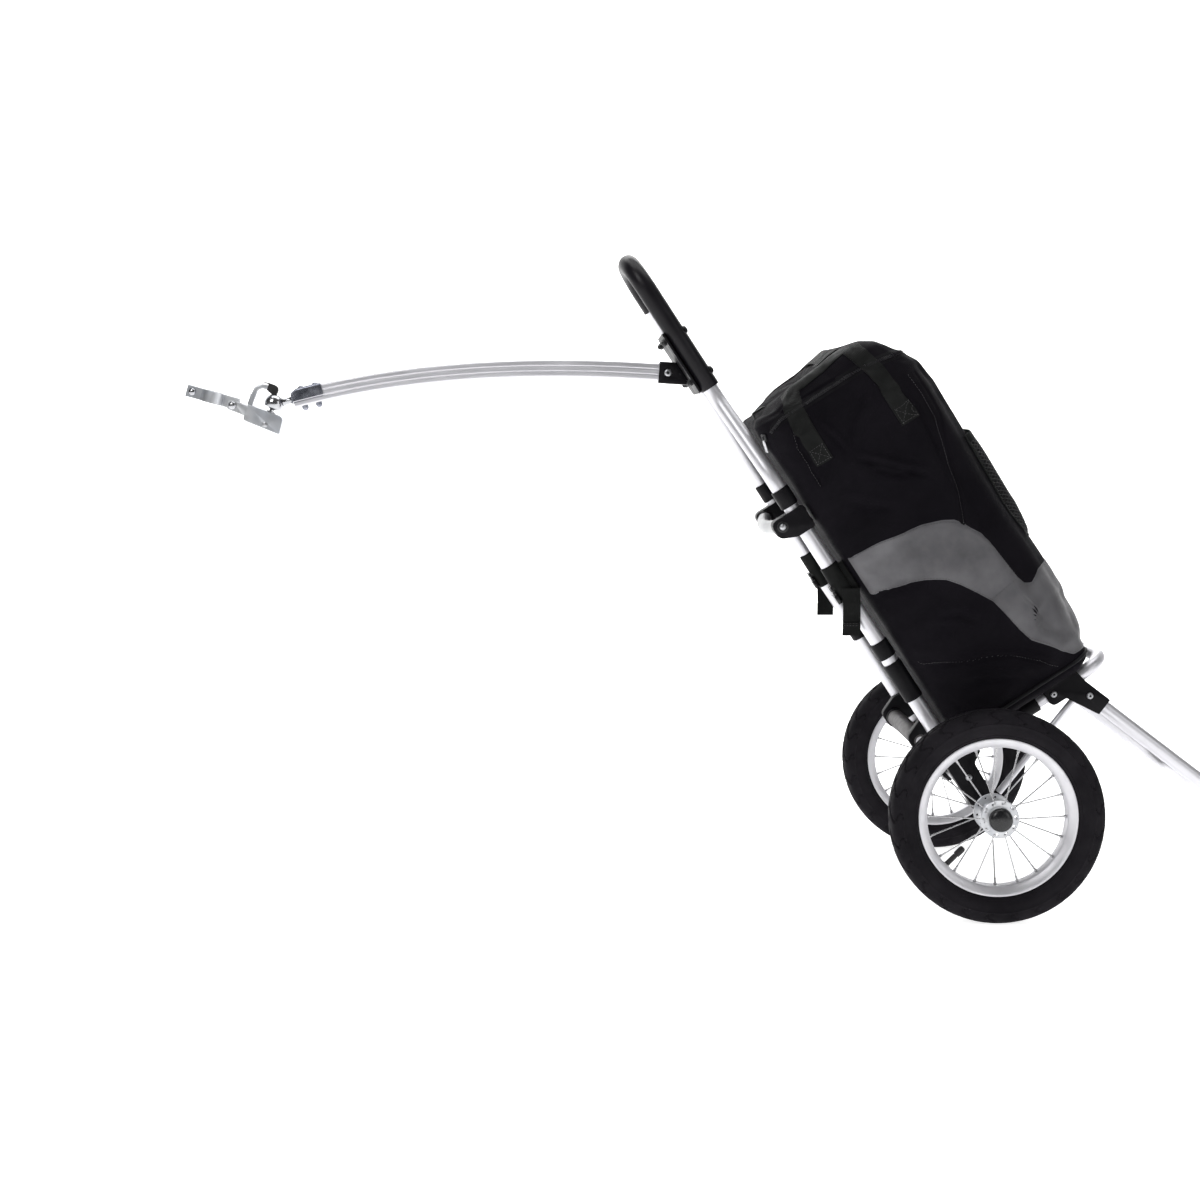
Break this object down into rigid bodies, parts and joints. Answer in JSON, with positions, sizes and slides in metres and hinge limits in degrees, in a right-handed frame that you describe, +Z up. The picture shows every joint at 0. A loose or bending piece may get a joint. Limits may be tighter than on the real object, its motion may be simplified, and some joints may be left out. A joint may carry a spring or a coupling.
{
  "type": "bicycle trailer",
  "caption": "Two-wheeled cargo trailer: a leaned hand-cart frame with a tall bag, a stand leg, and an arched drawbar whose ball hitch clamps to a bicycle's seat post.",
  "frame": {"origin": "on the ground, midway between the clamp's front ears and the stand leg's foot, in the plane between the wheels", "axes": "+X backwards, away from the bicycle; +Y to the trailer's right; +Z up"},
  "size_m": [1.4883, 0.5046, 0.9199],
  "materials": {
    "satin_aluminium": "satin",
    "zinc_plate": "bright zinc plate",
    "dark_steel": "dark satin",
    "black_plastic": "moulded, fine grain",
    "grip_foam": "matt foam",
    "tyre_rubber": "matt",
    "soft_rubber": "matt",
    "bag_fabric": "plain weave",
    "webbing": "woven webbing",
    "grey_tube": "satin grey"
  },
  "bodies": {
    "frame": {"axle": "dark_steel", "axle_bracket_left": "black_plastic", "axle_bracket_right": "black_plastic", "bag_body": "bag_fabric", "bag_loop": "webbing", "bag_pocket": "bag_fabric", "base_loop": "satin_aluminium", "coupler_head": "zinc_plate", "drawbar": "satin_aluminium", "drawbar_socket": "black_plastic", "elbow_left": "black_plastic", "elbow_right": "black_plastic", "handle_grip": "grip_foam", "handle_tube": "satin_aluminium", "hitch_plate": "black_plastic", "joint_sleeve_left": "black_plastic", "joint_sleeve_right": "black_plastic", "long_sleeve_left": "black_plastic", "low_sleeve_left": "black_plastic", "low_sleeve_right": "black_plastic", "lower_bracket_left": "black_plastic", "lower_bracket_right": "black_plastic", "lower_cross_tube": "grey_tube", "mid_bracket_left": "black_plastic", "mid_bracket_right": "black_plastic", "mid_cross_tube": "grey_tube", "plate_bolt_high_left": "black_plastic", "plate_bolt_high_right": "black_plastic", "plate_bolt_low_left": "black_plastic", "plate_bolt_low_right": "black_plastic", "rail_left": "satin_aluminium", "rail_right": "satin_aluminium", "socket_bolt": "zinc_plate", "stand_leg": "satin_aluminium", "strap_left": "webbing", "strap_right": "webbing", "strut_left": "satin_aluminium", "strut_right": "satin_aluminium"},
    "hitch_liner": {"coupler_liner": "black_plastic"},
    "tow_ball": {"tow_ball": "zinc_plate"},
    "hitch_bracket": {"hitch_channel": "zinc_plate", "latch_rivet": "zinc_plate", "tilt_bolt": "zinc_plate"},
    "latch": {"latch_hook": "zinc_plate", "latch_tip": "soft_rubber", "latch_spring": "dark_steel"},
    "clamp": {"clamp_band_left": "zinc_plate", "clamp_band_right": "zinc_plate", "clamp_bolt": "zinc_plate"},
    "wheel_left": {"tyre_left": "tyre_rubber", "rim_left": "satin_aluminium", "hub_left": "satin_aluminium", "hub_cap_left": "black_plastic", "valve_left": "soft_rubber"},
    "wheel_right": {"tyre_right": "tyre_rubber", "rim_right": "satin_aluminium", "hub_right": "satin_aluminium", "hub_cap_right": "black_plastic", "valve_right": "soft_rubber"}
  },
  "joints": [
    {"name": "wheel_left_spin", "type": "hinge", "parent": "frame", "child": "wheel_left", "pos_m": [0.3998, -0.215, 0.145], "axis": [0, 1, 0], "continuous": true},
    {"name": "wheel_right_spin", "type": "hinge", "parent": "frame", "child": "wheel_right", "pos_m": [0.3998, 0.215, 0.145], "axis": [0, 1, 0], "continuous": true},
    {"name": "hitch_roll", "type": "hinge", "parent": "frame", "child": "hitch_liner", "pos_m": [-0.61366, 0, 0.7048], "axis": [1, 0, 0], "range_deg": [-12, 12]},
    {"name": "hitch_pitch", "type": "hinge", "parent": "hitch_liner", "child": "tow_ball", "pos_m": [-0.61366, 0, 0.7048], "axis": [0, 1, 0], "range_deg": [-18, 18]},
    {"name": "hitch_yaw", "type": "hinge", "parent": "tow_ball", "child": "hitch_bracket", "pos_m": [-0.61366, 0, 0.7048], "axis": [0.3584, 0, 0.9336], "range_deg": [-50, 50]},
    {"name": "latch_hinge", "type": "hinge", "parent": "hitch_bracket", "child": "latch", "pos_m": [-0.62549, 0, 0.67399], "axis": [0, -1, 0], "range_deg": [0, 16], "stiffness_Nm_per_rad": 0.3, "springref_deg": -20.05},
    {"name": "clamp_tilt", "type": "hinge", "parent": "hitch_bracket", "child": "clamp", "pos_m": [-0.67387, 0, 0.70199], "axis": [0, 1, 0], "range_deg": [-15, 15]}
  ]
}
